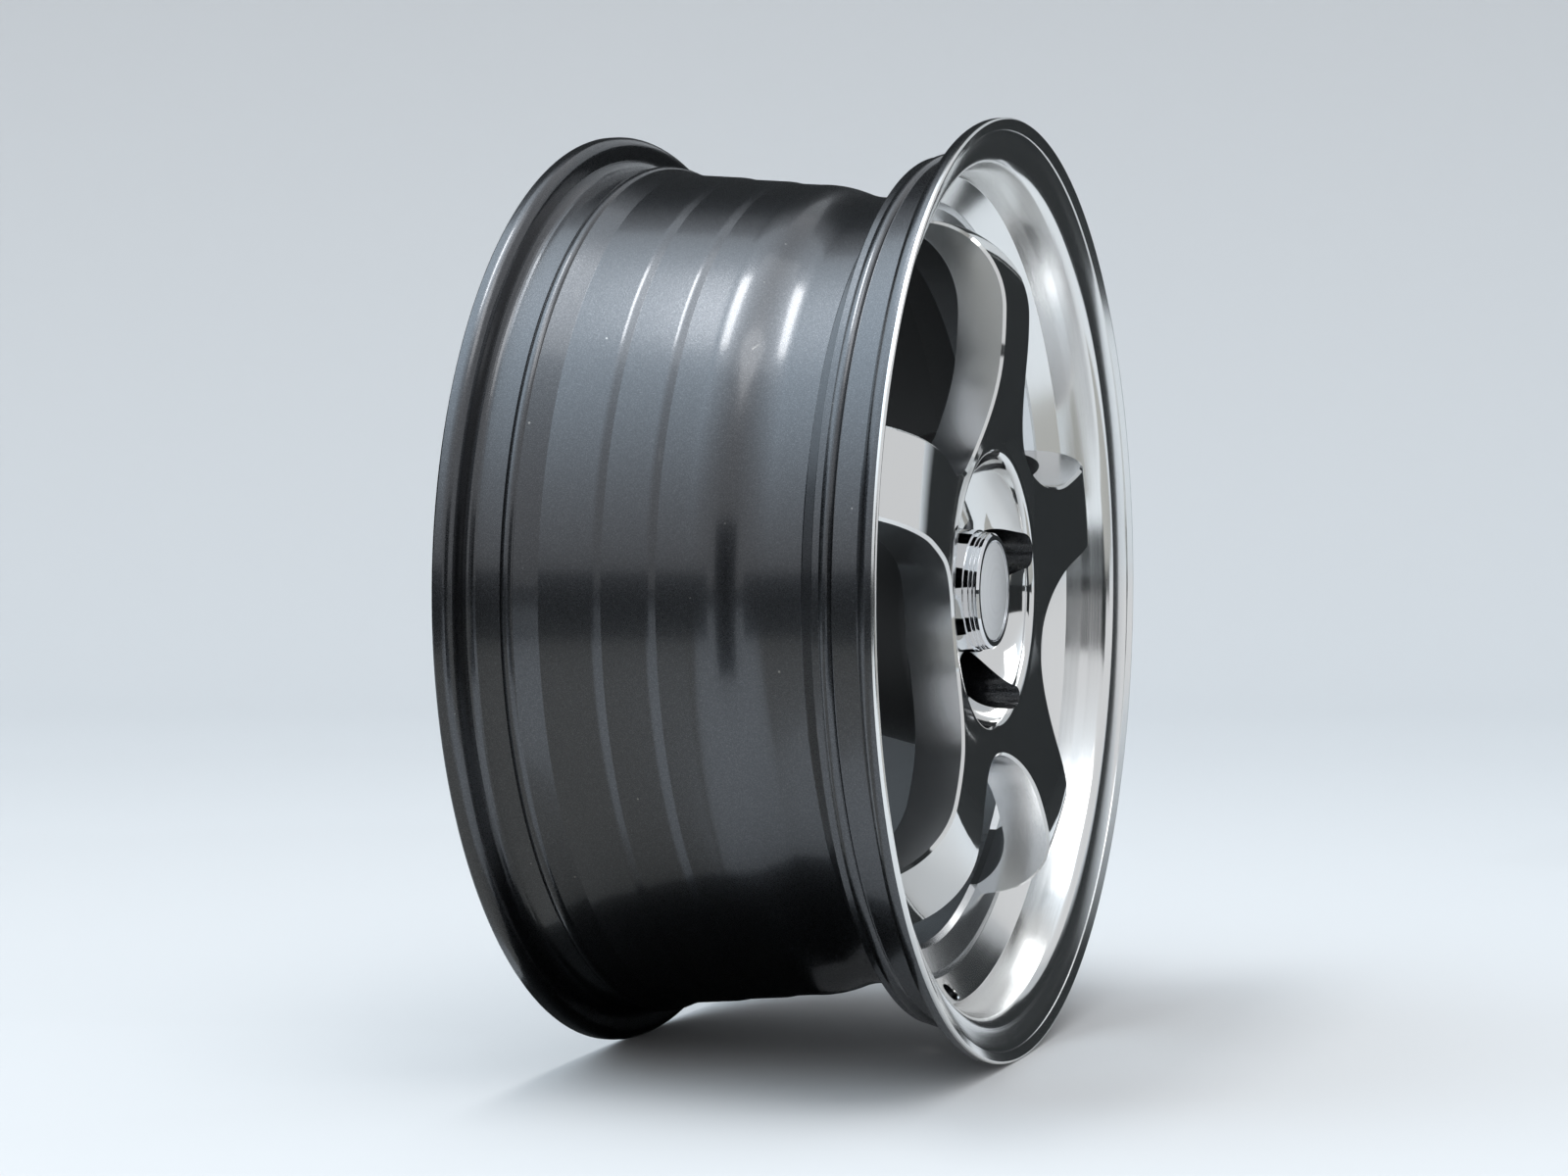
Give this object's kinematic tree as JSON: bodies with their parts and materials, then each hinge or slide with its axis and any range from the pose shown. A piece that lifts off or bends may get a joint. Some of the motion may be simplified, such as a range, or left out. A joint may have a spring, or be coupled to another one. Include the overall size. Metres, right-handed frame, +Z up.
{
  "type": "alloy wheel",
  "caption": "Polished-face alloy car wheel with straight spokes in a deep lip, a black barrel, a tall bright centre cap, open lug holes and an open valve hole.",
  "frame": {"origin": "centre of the rim: on the wheel's axis, halfway between the two flange planes", "axes": "Y is the wheel's axis, the face looks towards -Y and the mounting side towards +Y, +Z is up as pictured"},
  "size_m": [0.497, 0.224, 0.497],
  "materials": {
    "casting": "polished face and lip, silver painted windows, gloss black barrel and back",
    "cap": "bright plating",
    "cap_disc": "plain satin dome",
    "spring": "plain spring wire"
  },
  "bodies": {
    "root": {"wheel_casting": "casting", "cap_body": "cap", "cap_disc": "cap_disc", "cap_spring_ring": "spring"}
  },
  "joints": []
}
